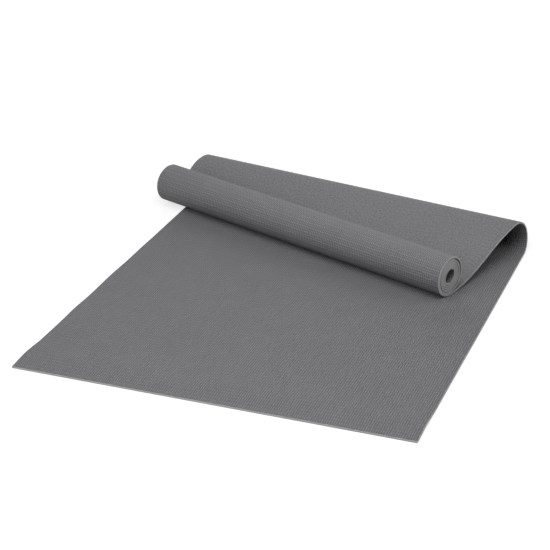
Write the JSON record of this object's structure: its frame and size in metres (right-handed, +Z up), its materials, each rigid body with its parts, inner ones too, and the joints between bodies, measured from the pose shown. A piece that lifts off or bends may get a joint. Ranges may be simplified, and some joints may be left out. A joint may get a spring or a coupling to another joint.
{
  "type": "yoga mat",
  "caption": "Thin foam yoga mat, lying flat and folded back over itself on a slant, with its tail rolled up on top.",
  "frame": {"origin": "on the underside, in the middle of the mat's width and half way from its front edge to the line where it lifts off the floor", "axes": "+X along the roll's axis, +Y back towards the fold, +Z up; the laid stretch lies turned 20.5 degrees about +Z"},
  "size_m": [0.8554, 0.8568, 0.0678],
  "materials": {
    "textured_foam": "matte grey foam with a fine ribbed, woven-looking grip texture",
    "polyester_scrim": "open polyester mesh, seen only on the cut edges",
    "smooth_foam": "matte grey foam with a fine pebbled skin"
  },
  "bodies": {
    "laid_mat": {"face_foam_laid": "textured_foam", "scrim_laid": "polyester_scrim", "back_foam_laid": "smooth_foam"},
    "strip_1": {"face_foam_fold_1": "textured_foam", "scrim_fold_1": "polyester_scrim", "back_foam_fold_1": "smooth_foam"},
    "strip_2": {"face_foam_fold_2": "textured_foam", "scrim_fold_2": "polyester_scrim", "back_foam_fold_2": "smooth_foam"},
    "strip_3": {"face_foam_fold_3": "textured_foam", "scrim_fold_3": "polyester_scrim", "back_foam_fold_3": "smooth_foam"},
    "strip_4": {"face_foam_fold_4": "textured_foam", "scrim_fold_4": "polyester_scrim", "back_foam_fold_4": "smooth_foam"},
    "strip_5": {"face_foam_fold_5": "textured_foam", "scrim_fold_5": "polyester_scrim", "back_foam_fold_5": "smooth_foam"},
    "strip_6": {"face_foam_fold_6": "textured_foam", "scrim_fold_6": "polyester_scrim", "back_foam_fold_6": "smooth_foam"},
    "strip_7": {"face_foam_fold_7": "textured_foam", "scrim_fold_7": "polyester_scrim", "back_foam_fold_7": "smooth_foam"},
    "strip_8": {"face_foam_fold_8": "textured_foam", "scrim_fold_8": "polyester_scrim", "back_foam_fold_8": "smooth_foam"},
    "rolled_tail": {"face_foam_leaf": "textured_foam", "scrim_leaf": "polyester_scrim", "back_foam_leaf": "smooth_foam", "face_foam_roll": "textured_foam", "scrim_roll": "polyester_scrim", "back_foam_roll": "smooth_foam"}
  },
  "joints": [
    {"name": "fold_hinge_1", "type": "hinge", "parent": "laid_mat", "child": "strip_1", "pos_m": [-0.12537, 0.33533, 0], "axis": [-0.984, -0.1779, 0], "range_deg": [0, 9.01]},
    {"name": "fold_hinge_2", "type": "hinge", "parent": "strip_1", "child": "strip_2", "pos_m": [-0.13283, 0.3554, 0.00305], "axis": [-0.984, -0.1779, 0], "range_deg": [0, 25.51]},
    {"name": "fold_hinge_3", "type": "hinge", "parent": "strip_2", "child": "strip_3", "pos_m": [-0.13639, 0.36406, 0.00983], "axis": [-0.984, -0.1779, 0], "range_deg": [0, 22.26]},
    {"name": "fold_hinge_4", "type": "hinge", "parent": "strip_3", "child": "strip_4", "pos_m": [-0.1393, 0.36917, 0.01978], "axis": [-0.984, -0.1779, 0], "range_deg": [0, 22.26]},
    {"name": "fold_hinge_5", "type": "hinge", "parent": "strip_4", "child": "strip_5", "pos_m": [-0.1414, 0.36975, 0.03113], "axis": [-0.984, -0.1779, 0], "range_deg": [0, 22.26]},
    {"name": "fold_hinge_6", "type": "hinge", "parent": "strip_5", "child": "strip_6", "pos_m": [-0.14265, 0.36565, 0.04186], "axis": [-0.984, -0.1779, 0], "range_deg": [0, 22.26]},
    {"name": "fold_hinge_7", "type": "hinge", "parent": "strip_6", "child": "strip_7", "pos_m": [-0.14317, 0.35752, 0.05006], "axis": [-0.984, -0.1779, 0], "range_deg": [0, 22.26]},
    {"name": "fold_hinge_8", "type": "hinge", "parent": "strip_7", "child": "strip_8", "pos_m": [-0.14322, 0.34676, 0.05428], "axis": [-0.984, -0.1779, 0], "range_deg": [0, 22.26]},
    {"name": "fold_hinge_9", "type": "hinge", "parent": "strip_8", "child": "rolled_tail", "pos_m": [-0.14316, 0.32527, 0.05184], "axis": [-0.984, -0.1779, 0], "range_deg": [0, 11.12]}
  ],
  "couplings": [
    {"joint": "fold_hinge_1", "follows": "fold_hinge_9", "ratio": 0.809},
    {"joint": "fold_hinge_2", "follows": "fold_hinge_9", "ratio": 2.292},
    {"joint": "fold_hinge_3", "follows": "fold_hinge_9", "ratio": 2},
    {"joint": "fold_hinge_4", "follows": "fold_hinge_9", "ratio": 2},
    {"joint": "fold_hinge_5", "follows": "fold_hinge_9", "ratio": 2},
    {"joint": "fold_hinge_6", "follows": "fold_hinge_9", "ratio": 2},
    {"joint": "fold_hinge_7", "follows": "fold_hinge_9", "ratio": 2},
    {"joint": "fold_hinge_8", "follows": "fold_hinge_9", "ratio": 2}
  ]
}
